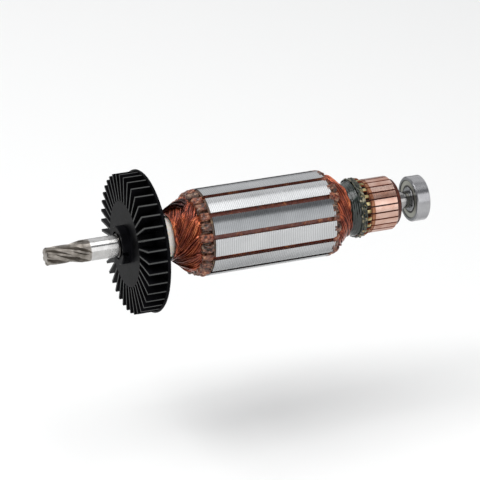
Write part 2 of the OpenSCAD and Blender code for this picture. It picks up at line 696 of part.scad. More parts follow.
module commutator_bar(k) color(bare_copper) {
    rotate([bar_turn + k * bar_pitch, 0, 0]) {
        intersection() {
            along_shaft(bar_root_x) linear_extrude(bar_end_x - bar_root_x) bar_section(0);
            turned([[0, bar_root_x], [wire_seat_r, bar_root_x], [wire_seat_r, hook_x + 0.3],
                    [track_r - 0.15, hook_x + 0.3], [track_r - 0.15, neck_x], [track_r, neck_x],
                    [track_r, bar_end_x - 0.5], [track_r - 0.5, bar_end_x], [0, bar_end_x]]);
        }
        // The hook: it rises from the bar's end and folds back over the wire
        tip_x = hook_x - 0.5;
        translate([0, 0, -hook_w / 2]) linear_extrude(hook_w)
            polygon([[bar_root_x, wire_seat_r - 1], [bar_root_x, hook_r - 0.5],
                     [bar_root_x + 0.15, hook_r - 0.15], [bar_root_x + 0.5, hook_r],
                     [tip_x - 0.6, hook_r - 0.05], [tip_x, hook_r - 0.4],
                     [tip_x, hook_r - hook_t], [bar_root_x + hook_t + 0.2, hook_r - hook_t],
                     [bar_root_x + hook_t, hook_r - hook_t - 0.2],
                     [bar_root_x + hook_t, wire_seat_r - 1]]);
    }
}

module commutator_hub() color(phenolic) {
    bore = commutator_seat_d / 2 + press_gap;
    difference() {
        turned([[bore, hub_rear_x], [hub_skirt_r, hub_rear_x], [hub_skirt_r + 0.6, bar_root_x],
                [wire_seat_r - undercut, bar_root_x + 0.01], [wire_seat_r - undercut, hook_x],
                [track_r - undercut, hook_x + 0.3], [track_r - undercut, bar_end_x],
                [track_r - 0.9, bar_end_x + 0.02], [track_r - 1.5, hub_end_x - 0.4],
                [track_r - 2, hub_end_x], [bore, hub_end_x]]);
        for (k = [0 : bar_count - 1])
            along_shaft(bar_root_x - 1) rotate([0, 0, bar_turn + k * bar_pitch])
                linear_extrude(bar_end_x - bar_root_x + 1 + press_gap) bar_section(press_gap);
    }
}

// ---- Rear bearing ----

module bearing_inner_ring() color(steel) {
    half = bearing_w / 2;
    bore = rear_journal_d / 2 + press_gap;
    out = inner_ring_d / 2;
    c = ring_chamfer / 2;
    difference() {
        turned([[bore, c - half], [bore + c, -half], [out - c, -half], [out, c - half],
                [out, half - c], [out - c, half], [bore + c, half], [bore, half - c]]);
        ball_race();
    }
}

module ball_race() rotate([90, 0, 90]) rotate_extrude($fn = 96)
    translate([pitch_r, 0]) circle(r = race_r, $fn = 48);

module bearing_outer_ring() color(steel) {
    half = bearing_w / 2;
    out = bearing_d / 2;
    c = ring_chamfer;
    shoulder = outer_shoulder_d / 2;
    seat = shield_seat_d / 2;
    step = half - shield_in - shield_t - press_gap;
    difference() {
        turned([[shoulder, -step], [seat, -step], [seat, -half], [out - c, -half], [out, c - half],
                [out, half - c], [out - c, half], [seat, half], [seat, step], [shoulder, step]]);
        ball_race();
    }
}

module ball_at(k, r) rotate([k * 360 / ball_count, 0, 0]) translate([0, pitch_r, 0])
    sphere(r = r, $fn = 48);

module bearing_balls() color(steel) for (k = [0 : ball_count - 1]) ball_at(k, ball_d / 2);

// One half of the riveted cage, a thin ring with a cup over each ball; side is -1 or 1
module cage_half(side) color(dark_steel) {
    cup = ball_d / 2 + loose_gap;
    reach = cup + cage_t + 0.5;
    difference() {
        intersection() {
            union() {
                turned([[cage_in_r, side * press_gap], [cage_out_r, side * press_gap],
                        [cage_out_r, side * cage_t], [cage_in_r, side * cage_t]]);
                for (k = [0 : ball_count - 1]) ball_at(k, cup + cage_t);
            }
            turned([[cage_in_r, side * press_gap], [cage_out_r, side * press_gap],
                    [cage_out_r, side * reach], [cage_in_r, side * reach]]);
        }
        for (k = [0 : ball_count - 1]) ball_at(k, cup);
    }
}

// A pressed shield; side is -1 at the commutator and 1 at the shaft's end
module shield(side) color(dark_steel) {
    out_x = bearing_w / 2 - shield_in;
    turned([for (p = [[inner_ring_d / 2 + shield_gap, out_x - shield_t],
                      [shield_seat_d / 2 - press_gap, out_x - shield_t],
                      [shield_seat_d / 2 - press_gap, out_x], [inner_ring_d / 2 + shield_gap, out_x]])
            [p[0], side * p[1]]]);
}

module bearing_cage_front() cage_half(-1);
module bearing_cage_rear() cage_half(1);
module bearing_shield_front() shield(-1);
module bearing_shield_rear() shield(1);

shaft();
fan();
front_sleeve();
rear_sleeve();
lamination_stack();
front_end_insulator();
rear_end_insulator();
slot_papers();
slot_wedges();
for (k = [0 : slot_count - 1])
    coil(k);
coil_leads();
twine_band();
commutator_hub();
for (k = [0 : bar_count - 1])
    commutator_bar(k);
bearing_inner_ring();
bearing_outer_ring();
bearing_balls();
bearing_cage_front();
bearing_cage_rear();
bearing_shield_front();
bearing_shield_rear();
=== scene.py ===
# Armature of a small universal motor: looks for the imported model.
# Everything is in metres. The shaft lies along X, the rear bearing is at the origin and +Z is up.
import math
import random

import bpy
import numpy as np
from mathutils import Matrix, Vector


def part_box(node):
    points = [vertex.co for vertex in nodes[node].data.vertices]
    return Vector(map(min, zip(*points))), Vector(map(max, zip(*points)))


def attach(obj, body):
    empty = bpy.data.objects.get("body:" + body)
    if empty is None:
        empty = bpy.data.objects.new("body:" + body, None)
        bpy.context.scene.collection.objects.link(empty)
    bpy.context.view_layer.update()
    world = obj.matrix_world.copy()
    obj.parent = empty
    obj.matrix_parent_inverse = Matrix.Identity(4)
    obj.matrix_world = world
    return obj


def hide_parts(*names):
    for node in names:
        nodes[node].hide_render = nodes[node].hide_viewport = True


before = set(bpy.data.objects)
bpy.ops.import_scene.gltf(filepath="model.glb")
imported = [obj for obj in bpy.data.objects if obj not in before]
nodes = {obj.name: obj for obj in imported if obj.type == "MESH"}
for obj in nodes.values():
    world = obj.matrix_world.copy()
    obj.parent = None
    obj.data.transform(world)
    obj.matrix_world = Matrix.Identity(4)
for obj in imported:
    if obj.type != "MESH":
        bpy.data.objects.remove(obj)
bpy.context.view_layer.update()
mm = 0.001
random.seed(7)
print("frame loaded:", len(nodes), "nodes")


def linear(hexColour):  # sRGB hex to the linear colour that shaders take
    channels = [int(hexColour[i:i + 2], 16) / 255 for i in (0, 2, 4)]
    return [c / 12.92 if c <= 0.04045 else ((c + 0.055) / 1.055) ** 2.4 for c in channels] + [1]


def newMaterial(name):  # a node material with only its output and its surface shader
    material = bpy.data.materials.new(name)
    material.use_nodes = True
    return material


def add(material, kind, inputs=None, out=0, stops=(), **settings):
    # Adds a node and gives back one of its outputs. An input is a value or an output to link, and
    # stops are a colour ramp's places and colours. A Mix node's colours are inputs 6 and 7, output 2.
    tree = material.node_tree
    node = tree.nodes.new("ShaderNode" + kind)
    for key, value in settings.items():
        setattr(node, key, value)
    for key, value in (inputs or {}).items():
        connect(tree, node.inputs[key], value)
    for k, (place, colour) in enumerate(stops):
        element = node.color_ramp.elements[k] if k < 2 else node.color_ramp.elements.new(place)
        element.position, element.color = place, linear(colour)
    return node.outputs[out]


def connect(tree, socket, value):
    if isinstance(value, bpy.types.NodeSocket):
        tree.links.new(value, socket)
    else:
        socket.default_value = value


def setSurface(material, inputs):  # values and links of the surface shader
    shader = material.node_tree.nodes["Principled BSDF"]
    for key, value in inputs.items():
        connect(material.node_tree, shader.inputs[key], value)


def finishWith(names, material):  # gives CAD nodes that stay their material
    for name in names:
        nodes[name].data.materials.clear()
        nodes[name].data.materials.append(material)


def nodesNamed(start):
    return sorted(name for name in nodes if name.startswith(start))


def span(name):  # where a node starts and ends along the shaft
    low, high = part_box(name)
    return low[0], high[0]


def endAt(name, side):  # where a node ends towards the pinion (-1) or the bearing (1), in mm
    return span(name)[0 if side < 0 else 1] / mm


def outerRadius(name):  # in mm
    low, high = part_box(name)
    return (high[1] - low[1]) / 2 / mm


studio = {
    "cameraPlace": (-0.4307, -0.8645, 0.3962),
    "turn": 22.17, "elevation": 23.32,  # degrees that the camera looks to the side and down
    "lens": 187.5, "clipStart": 0.05,
    "floorDrop": 0.09,  # from the shaft's axis down to the floor
    "floorReach": 6,  # from the middle of the floor to its sides
    "floorColour": "f4f4f3",
    "worldColour": "f2f4f8", "worldStrength": 0.3,
    # Each softbox: degrees round the shaft's axis from straight ahead over the top, centre along the
    # shaft, distance, length, height and watts. The dark gap between the first two draws the thin
    # dark line along every polished cylinder.
    "frontSoftbox": (20, 0.3, 1.3, 1.8, 1.05, 8),
    "overheadSoftbox": (79, -0.1, 1.2, 1.04, 0.8, 5.6),  # ends short of the bearing's reflection
    "backSoftbox": (136, 0.1, 1.4, 1.8, 1.8, 6.6),
    "floorSoftbox": (90, -1.3, 1.7, 1.2, 1.2, 24),  # beyond the pinion, where no cylinder mirrors it
}


def makeStudio():
    scene = bpy.context.scene
    turn, elevation = math.radians(studio["turn"]), math.radians(studio["elevation"])
    forward = Vector((math.sin(turn) * math.cos(elevation), math.cos(turn) * math.cos(elevation),
                      -math.sin(elevation)))
    camera = bpy.data.objects.new("camera", bpy.data.cameras.new("camera"))
    camera.data.lens = studio["lens"]
    camera.location = studio["cameraPlace"]
    camera.rotation_mode = "QUATERNION"
    camera.rotation_quaternion = forward.to_track_quat("-Z", "Y")
    camera.data.clip_start = studio["clipStart"]
    scene.collection.objects.link(camera)
    scene.camera = camera

    mesh = bpy.data.meshes.new("floor")
    reach, drop = studio["floorReach"], studio["floorDrop"]
    corners = ((-reach, -reach), (reach, -reach), (reach, reach), (-reach, reach))
    mesh.from_pydata([(x, y, -drop) for x, y in corners], [], [(0, 1, 2, 3)])
    floor = bpy.data.objects.new("floor", mesh)
    scene.collection.objects.link(floor)
    paint = newMaterial("matte white floor paint")
    setSurface(paint, {"Base Color": linear(studio["floorColour"]), "Roughness": 0.9,
                       "Specular IOR Level": 0.1})
    mesh.materials.append(paint)

    world = bpy.data.worlds.new("studio")
    scene.world = world
    world.use_nodes = True
    background = world.node_tree.nodes["Background"]
    background.inputs["Color"].default_value = linear(studio["worldColour"])
    background.inputs["Strength"].default_value = studio["worldStrength"]

    for name in ("frontSoftbox", "overheadSoftbox", "backSoftbox", "floorSoftbox"):
        around, along, distance, length, height, watts = studio[name]
        angle = math.radians(around)
        data = bpy.data.lights.new(name, "AREA")
        data.shape = "RECTANGLE"
        data.size, data.size_y, data.energy = length, height, watts
        light = bpy.data.objects.new(name, data)
        light.location = (along, -distance * math.cos(angle), distance * math.sin(angle))
        light.rotation_euler = (math.pi / 2 - angle, 0, 0)
        scene.collection.objects.link(light)
    scene.view_settings.view_transform = "Standard"


makeStudio()
print("studio ready")


# Patterns lie in the model's own space, and their sizes are in millimetres. Most masks between two
# finishes run from 0 to 1 over a few tenths of a millimetre, so that the finishes meet softly.

def patternedMaterial(name):  # with the place that its patterns read
    material = newMaterial(name)
    return material, add(material, "TexCoord", out="Object")


def scaleOf(size):  # from the size of one wave of the pattern
    return 1 / (size * mm)


def grainPattern(material, place, along, across, detail):  # along and across the shaft, in mm
    scale = (scaleOf(along), scaleOf(across), scaleOf(across))
    return add(material, "TexNoise", {"Scale": 1, "Detail": detail, "Vector": add(
        material, "Mapping", {"Vector": place, "Scale": scale})})


def axisDistance(material, place):  # how far the surface is from the shaft's axis, in mm
    flat = add(material, "VectorMath", {0: place, 1: (0, 1 / mm, 1 / mm)}, operation="MULTIPLY")
    return add(material, "VectorMath", {0: flat}, out="Value", operation="LENGTH")


def ownNormal(material):  # in the object's own space, so that a turned rotor keeps its colours
    return add(material, "VectorTransform", {"Vector": add(material, "NewGeometry", out="True Normal")},
               vector_type="NORMAL", convert_from="WORLD", convert_to="OBJECT")


def outwardFacing(material, place):  # 1 where the surface faces away from the shaft's axis, 0 sideways
    flat = add(material, "VectorMath", {0: place, 1: (0, 1, 1)}, operation="MULTIPLY")
    away = add(material, "VectorMath", {0: flat}, operation="NORMALIZE")
    return add(material, "VectorMath", {0: away, 1: ownNormal(material)}, out="Value",
               operation="DOT_PRODUCT")


def makeRingedSteel(name, rough, line, relief):
    # Bright steel with fine rings round the shaft, which stretch every reflection along it. The real
    # rings are too fine to show, so they are drawn as wide as line says.
    material, place = patternedMaterial(name)
    rings = grainPattern(material, place, line, 40, 3)
    setSurface(material, {
        "Metallic": 1, "Anisotropic": 0.5, "Anisotropic Rotation": 0.25,
        "Tangent": add(material, "Tangent", direction_type="RADIAL", axis="X"),
        "Roughness": add(material, "MapRange", {"Value": rings, "To Min": rough, "To Max": rough + 0.14}),
        "Normal": add(material, "Bump", {"Height": rings, "Distance": relief * mm})})
    return material, place


def stained(material, place, base, dark):  # a colour with slight stains from handling
    stains = grainPattern(material, place, 8.33, 3.85, 3)
    return add(material, "ValToRGB", {"Fac": stains}, stops=[(0.35, base), (0.75, dark)])


shaftFinish = {
    "ground": "c6c5c4", "stain": "aeacaa",  # the plain journals
    "hobbed": "a09a93", "shade": "6c665f",  # the pinion's gaps and teeth
    "darkened": "4a4846",  # painted shade inside the fan's boss; the shaft behind the commutator is darker too
    "rearDarkening": 0.4,  # how far the shaft behind the commutator is darkened towards that colour
    "pinionLength": 18.9,  # from the shaft's tip, in mm
    "landRadius": 4.45,  # of the steel between the gaps' run-outs
    "landEnd": 0.9,  # where grinding has cleaned it, ahead of the pinion's end, in mm
    "bossMiddle": 2, "bossReach": 2.6,  # the stretch of painted shade inside the fan's boss, from its face, in mm
    "gloss": (0.15, 0.4),  # roughness where ground and where hobbed
    "line": 0.1111, "relief": 0.004,  # grinding rings in mm, wider than the real ones so that they show
    "stains": 2.5,  # their size, in mm
}


def makeShaftSteel():
    # Case-hardened steel: ground on the journals, so that they mirror the softboxes, and left warm
    # grey and duller by the hob and the furnace on the pinion
    material, place = patternedMaterial("ground and hobbed shaft steel")
    x = add(material, "SeparateXYZ", {0: place}, out="X")
    pinionEnd = span("shaft")[0] + shaftFinish["pinionLength"] * mm
    rim = shaftFinish["landRadius"]
    onPinion = add(material, "MapRange", {"Value": x, "From Min": pinionEnd + 0.1 * mm,
                                         "From Max": pinionEnd - 0.1 * mm})
    below = add(material, "MapRange", {"Value": axisDistance(material, place), "From Min": rim - 0.02,
                                      "From Max": rim - 0.05})
    # Painted shade darkens the shaft inside the fan's boss; behind the commutator the shaft is darker too
    bossMiddle = span("fan")[0] + shaftFinish["bossMiddle"] * mm
    inBoss = add(material, "Math", {0: x, 1: bossMiddle, 2: shaftFinish["bossReach"] * mm},
                 operation="COMPARE")
    hubEnd = span("commutator_hub")[1]
    atRear = add(material, "MapRange", {"Value": x, "From Min": hubEnd - 1 * mm, "From Max": hubEnd,
                                       "To Max": shaftFinish["rearDarkening"]})
    darkened = add(material, "Math", {0: inBoss, 1: atRear}, operation="MAXIMUM")
    landEnd = pinionEnd - shaftFinish["landEnd"] * mm
    ahead = add(material, "MapRange", {"Value": x, "From Min": landEnd + 0.2 * mm,
                                      "From Max": landEnd - 0.2 * mm})
    unground = add(material, "Math", {0: below, 1: ahead}, operation="MAXIMUM")
    hobbed = add(material, "Math", {0: onPinion, 1: unground}, operation="MULTIPLY")
    rings = grainPattern(material, place, shaftFinish["line"], 33.3, 3)
    stains = grainPattern(material, place, shaftFinish["stains"], shaftFinish["stains"], 4)
    groundColour = add(material, "ValToRGB", {"Fac": stains}, stops=[
        (0.3, shaftFinish["ground"]), (0.8, shaftFinish["stain"])])
    hobbedColour = add(material, "ValToRGB", {"Fac": stains}, stops=[
        (0.3, shaftFinish["hobbed"]), (0.7, shaftFinish["shade"])])
    steel = add(material, "Mix", {"Factor": hobbed, 6: groundColour, 7: hobbedColour}, out=2,
                data_type="RGBA")
    ground, rough = shaftFinish["gloss"]
    setSurface(material, {
        "Base Color": add(material, "Mix", {"Factor": darkened, 6: steel, 7: linear(shaftFinish["darkened"])},
                          out=2, data_type="RGBA"),
        "Metallic": 1,
        "Roughness": add(material, "MapRange", {"Value": hobbed, "To Min": ground, "To Max": rough}),
        "Normal": add(material, "Bump", {"Height": rings, "Distance": shaftFinish["relief"] * mm})})
    return material


fanFinish = {
    "dark": "060607", "pale": "141417",
    "edge": "505150",  # painted highlight on the middle of the blades' edges
    "edgeRadii": (17.6, 28.2, 28.7),  # where the blades' front edges start and the outer ones lie, in mm
    "edgeDepth": 6.2,  # of the blades' front edges behind the boss's face, in mm
    "highlightHalfWidth": 0.25,  # half the width of the painted highlight in the middle of an edge, in mm
    "blades": 39, "firstBlade": 8.1, "bladeSwing": 1.5,  # degrees, as the moulding has them
    "gloss": (0.3, 0.45),  # lowest and highest roughness
    "grain": 1.111, "relief": 0.008,  # of the moulded surface, in mm
    "dust": 6.25,  # size of its patches, in mm
    "dustStops": (0.35, 0.8),  # from clean to dusty
}


def makeFanNylon():
    # Glass-filled nylon, injection moulded: dull black faces, and thin grey painted highlights on edges
    material, place = patternedMaterial("moulded black nylon")
    grain = add(material, "TexNoise", {"Vector": place, "Scale": scaleOf(fanFinish["grain"]), "Detail": 3})
    dust = add(material, "TexNoise", {"Vector": place, "Scale": scaleOf(fanFinish["dust"]), "Detail": 4})
    distance = axisDistance(material, place)
    inner, outer, end = fanFinish["edgeRadii"]
    depth = span("fan")[0] + fanFinish["edgeDepth"] * mm
    split = add(material, "SeparateXYZ", {0: place}).node.outputs
    forward = add(material, "SeparateXYZ", {0: ownNormal(material)}, out="X")
    facing = add(material, "Math", {0: forward, 1: -0.5}, operation="LESS_THAN")  # the pinion
    ahead = add(material, "Math", {0: split["X"], 1: depth}, operation="LESS_THAN")
    beyond = add(material, "Math", {0: distance, 1: inner}, operation="GREATER_THAN")
    front = add(material, "Math", {0: facing, 1: add(
        material, "Math", {0: ahead, 1: beyond}, operation="MULTIPLY")}, operation="MULTIPLY")
    outside = add(material, "Math", {0: outwardFacing(material, place), 1: 0.8}, operation="GREATER_THAN")
    atTips = add(material, "Math", {0: distance, 1: (outer + end) / 2, 2: (end - outer) / 2},
                 operation="COMPARE")
    rim = add(material, "Math", {0: outside, 1: atTips}, operation="MULTIPLY")
    angle = add(material, "Math", {0: split["Z"], 1: split["Y"]}, operation="ARCTAN2")
    even = add(material, "Math", {0: add(material, "Math", {0: angle}, operation="SINE"),
                                  1: math.radians(fanFinish["bladeSwing"]), 2: angle},
               operation="MULTIPLY_ADD")
    pitch = 2 * math.pi / fanFinish["blades"]
    counted = add(material, "Math", {0: even, 1: 1 / pitch,
                                     2: -math.radians(fanFinish["firstBlade"]) / pitch},
                  operation="MULTIPLY_ADD")
    aside = add(material, "Math", {0: add(material, "Math", {0: counted, 1: 0.5}, operation="PINGPONG"),
                                   1: distance}, operation="MULTIPLY")
    middle = add(material, "MapRange", {"Value": aside, "From Min": fanFinish["highlightHalfWidth"] * 1.3 / pitch,
                                       "From Max": fanFinish["highlightHalfWidth"] * 0.7 / pitch})  # soft borders
    # Painted highlight: the grey colour on the middle of the front and outer edges
    edge = add(material, "Math", {0: middle, 1: add(
        material, "Math", {0: front, 1: rim}, operation="MAXIMUM")}, operation="MULTIPLY")
    clean, dusty = fanFinish["dustStops"]
    black = add(material, "ValToRGB", {"Fac": dust}, stops=[
        (clean, fanFinish["dark"]), (dusty, fanFinish["pale"])])
    low, high = fanFinish["gloss"]
    setSurface(material, {
        "Base Color": add(material, "Mix", {"Factor": edge, 6: black, 7: linear(fanFinish["edge"])},
                          out=2, data_type="RGBA"),
        "Roughness": add(material, "MapRange", {"Value": grain, "To Min": low, "To Max": high}),
        "IOR": 1.53, "Specular IOR Level": 0.02,
        "Normal": add(material, "Bump", {"Height": grain, "Distance": fanFinish["relief"] * mm})})
    return material


sleeveFinish = {
    "cream": "e9e2d8", "soiled": "d2c2ab",
    "soil": (6.67, 3.33),  # size of its patches along the shaft and across, in mm
    "depth": 0.5,  # how far light goes into the plastic, in mm
}


def makeSleevePolyester():
    # Cream thermoplastic polyester, injection moulded: soft satin gloss with a little varnish soiling
    material, place = patternedMaterial("moulded cream polyester")
    soil = grainPattern(material, place, *sleeveFinish["soil"], 4)
    setSurface(material, {
        "Base Color": add(material, "ValToRGB", {"Fac": soil}, stops=[
            (0.45, sleeveFinish["cream"]), (0.75, sleeveFinish["soiled"])]),
        "Roughness": 0.45, "IOR": 1.57, "Subsurface Weight": 0.15,
        "Subsurface Scale": sleeveFinish["depth"] * mm})
    return material


coreFinish = {
    # The stain colour carries faint stains and also painted shade that darkens some teeth
    "ground": "d6d7d8", "stain": "7a7d80", "joint": "4a4744",
    "slots": 12, "slotTurn": 15.5,  # degrees to the first slot
    "darkestShadedTooth": 4, "shadeSwing": 2.3,  # the tooth with the most painted shade, and how that shade swings from tooth to tooth
    "pitch": 0.8,  # of the joints drawn, in mm; the real sheets are 0.5 mm, too fine to show
    "jointShare": 0.55,  # how strongly a joint shows
    "shadeShare": 0.16,  # how strongly the painted shade swings
    "streaks": (0.3846, 16.7), "relief": 0.006,  # of the grinding, in mm, coarser than real so as to show
    "stains": (16.7, 6.25),  # size along the shaft and across, in mm
    "gloss": (0.21, 0.35),  # lowest and highest roughness
}


def makeCoreSteel():
    # Stamped silicon-steel sheets, ground on their outside as one stack: fine rings round the core
    # from the joints, grinding streaks that break the highlights up, and painted shade on some teeth
    material, place = patternedMaterial("ground silicon-steel laminations")
    split = add(material, "SeparateXYZ", {0: place}).node.outputs
    sheets = add(material, "Math", {0: split["X"], 1: scaleOf(coreFinish["pitch"])}, operation="MULTIPLY")
    across = add(material, "Math", {0: add(material, "Math", {0: sheets}, operation="FRACT"), 1: 0.5},
                 operation="SUBTRACT")
    joint = add(material, "MapRange", {"Value": add(material, "Math", {0: across}, operation="ABSOLUTE"),
                                      "From Min": 0.3, "From Max": 0.5})
    streaks = grainPattern(material, place, *coreFinish["streaks"], 4)
    stains = grainPattern(material, place, *coreFinish["stains"], 4)
    angle = add(material, "Math", {0: split["Z"], 1: split["Y"]}, operation="ARCTAN2")
    tooth = add(material, "Math", {0: add(material, "Math", {
        0: angle, 1: coreFinish["slots"] / (2 * math.pi),
        2: -coreFinish["slotTurn"] * coreFinish["slots"] / 360},
        operation="MULTIPLY_ADD")}, operation="FLOOR")
    counted = add(material, "Math", {0: tooth, 1: coreFinish["slots"]}, operation="FLOORED_MODULO")
    shadeSwing = add(material, "Math", {0: add(material, "Math", {
        0: counted, 1: coreFinish["shadeSwing"], 2: -coreFinish["darkestShadedTooth"] * coreFinish["shadeSwing"]},
        operation="MULTIPLY_ADD")}, operation="COSINE")
    faint = add(material, "MapRange", {"Value": stains, "To Min": 0.4, "To Max": 0.6})
    # Painted shade from tooth to tooth, with faint stains on top
    worn = add(material, "Math", {0: shadeSwing, 1: coreFinish["shadeShare"], 2: faint},
               operation="MULTIPLY_ADD")
    steel = add(material, "ValToRGB", {"Fac": worn}, stops=[
        (0.3, coreFinish["ground"]), (0.75, coreFinish["stain"])])
    shown = add(material, "Math", {0: joint, 1: coreFinish["jointShare"]}, operation="MULTIPLY")
    relief = add(material, "Math", {0: streaks, 1: shown}, operation="SUBTRACT")
    low, high = coreFinish["gloss"]
    setSurface(material, {
        "Base Color": add(material, "Mix", {"Factor": shown, 6: steel, 7: linear(coreFinish["joint"])},
                          out=2, data_type="RGBA"),
        "Metallic": 1, "Anisotropic": 0.8, "Anisotropic Rotation": 0.25,
        "Tangent": add(material, "Tangent", direction_type="RADIAL", axis="X"),
        "Roughness": add(material, "MapRange", {"Value": streaks, "To Min": low, "To Max": high}),
        "Normal": add(material, "Bump", {"Height": relief, "Distance": coreFinish["relief"] * mm})})
    return material


fibreFinish = {
    # Colours of the thin, middling and thick varnish
    "endFibre": ("9a8060", "4c3423", "33382a"),
    "slotPaper": ("a98a66", "5b3a26", "3a3f2e"),
    "slotWedge": ("b9703f", "6b2c1a", "2c0f0a"),
    "fill": ("6a2c18", "3c150c", "220c08"),
    "mottle": 2.38, "pools": 1.43, "relief": 0.12,  # sizes, in mm
    "gloss": (0.2, 0.6),  # lowest and highest roughness
}


def makeVarnishedFibre(name, thin, middling, thick):
    # Electrical paper soaked in winding varnish: mottled brown, glossy where the varnish pooled
    material, place = patternedMaterial(name)
    mottle = add(material, "TexNoise", {"Vector": place, "Scale": scaleOf(fibreFinish["mottle"]),
                                        "Detail": 5, "Roughness": 0.65})
    pools = add(material, "TexNoise", {"Vector": place, "Scale": scaleOf(fibreFinish["pools"]), "Detail": 3})
    low, high = fibreFinish["gloss"]
    setSurface(material, {
        "Base Color": add(material, "ValToRGB", {"Fac": mottle}, stops=[
            (0.3, thick), (0.42, middling), (0.55, middling), (0.68, thin)]),
        "Roughness": add(material, "MapRange", {"Value": pools, "From Min": 0.35, "From Max": 0.65,
                                               "To Min": low, "To Max": high}),
        "IOR": 1.5,
        "Normal": add(material, "Bump", {"Height": mottle, "Distance": fibreFinish["relief"] * mm})})
    return material


endPaperFinish = {
    "between": [(0.36, "17110d"), (0.48, "3f2a20"), (0.57, "66493a"), (0.66, "ab967f")],
    "over": [(0.38, "2c0f09"), (0.47, "6f3320"), (0.58, "935234"), (0.67, "cf9c7b")],
    "mottle": 1.613, "relief": 0.15,  # sizes, in mm
    "gloss": (0.15, 0.5),  # lowest and highest roughness
}


def makeEndPaper():
    # Slot paper folded over the coils and glued down with winding varnish: translucent and coppery
    # over the slots, grey-brown and mottled between them. The mesh's "tone" says which.
    material, place = patternedMaterial("varnished end paper")
    overSlot = add(material, "Attribute", out="Fac", attribute_name="tone")
    mottle = add(material, "TexNoise", {"Vector": place, "Scale": scaleOf(endPaperFinish["mottle"]),
                                        "Detail": 4, "Roughness": 0.7})
    between, over = (add(material, "ValToRGB", {"Fac": mottle}, stops=endPaperFinish[key])
                     for key in ("between", "over"))
    low, high = endPaperFinish["gloss"]
    setSurface(material, {
        "Base Color": add(material, "Mix", {"Factor": overSlot, 6: between, 7: over}, out=2,
                          data_type="RGBA"),
        "Roughness": add(material, "MapRange", {"Value": mottle, "From Min": 0.35, "From Max": 0.65,
                                               "To Min": low, "To Max": high}),
        "IOR": 1.5,
        "Normal": add(material, "Bump", {"Height": mottle, "Distance": endPaperFinish["relief"] * mm})})
    return material


wireFinish = {
    "tones": [(0.05, "300e09"), (0.36, "833722"), (0.62, "b65c38"), (0.95, "de8c5a")],
    "pools": 5.26,  # size of the varnish's thick places, in mm
    "deepening": 0.22,  # how far they darken and the thin places brighten a turn
}


def makeEnamelledCopper():
    # Round copper wire in amber enamel under winding varnish: metal seen through a glossy coat.
    # Each turn has its own tone, from bright orange to the dark red-brown of thick varnish.
    material, place = patternedMaterial("enamelled copper wire")
    tone = add(material, "Attribute", out="Fac", attribute_name="tone")
    pools = add(material, "TexNoise", {"Vector": place, "Scale": scaleOf(wireFinish["pools"]), "Detail": 3})
    deep = add(material, "MapRange", {"Value": pools, "From Min": 0.3, "From Max": 0.7,
                                     "To Min": -wireFinish["deepening"], "To Max": wireFinish["deepening"]})
    shade = add(material, "Math", {0: tone, 1: deep}, operation="ADD")
    setSurface(material, {
        "Base Color": add(material, "ValToRGB", {"Fac": shade}, stops=wireFinish["tones"]),
        "Metallic": 0.75, "Roughness": 0.27,
        "Coat Weight": 0.35, "Coat Roughness": 0.12, "Coat IOR": 1.5})
    return material


commutatorFinish = {
    "track": "dabbae", "worn": "b78a78", "neck": "7e4e3a", "neckPale": "ab7b5c",
    "hook": "6e5c38", "hookPale": "cdbd8c",
    "slotSide": "8a3b22",  # the bars' sides, browned between them
    "coated": "20231c",  # the hooked end under the hooks, run over by banding resin
    "neckStart": 4.4, "neckEnd": 6,  # from the bars' hooked ends, in mm
    "hookRadius": 11.7,  # above which only the hooks' tops stand clear of the resin, in mm
    "line": 0.2222, "relief": 0.008,  # turning rings in mm, wider than the real ones so that they show
    "stains": 2.86, "marks": 6.25,  # sizes of the stains and of the brushes' marks, in mm
    "gloss": (0.45, 0.26),  # roughness off the brush track and on it
}


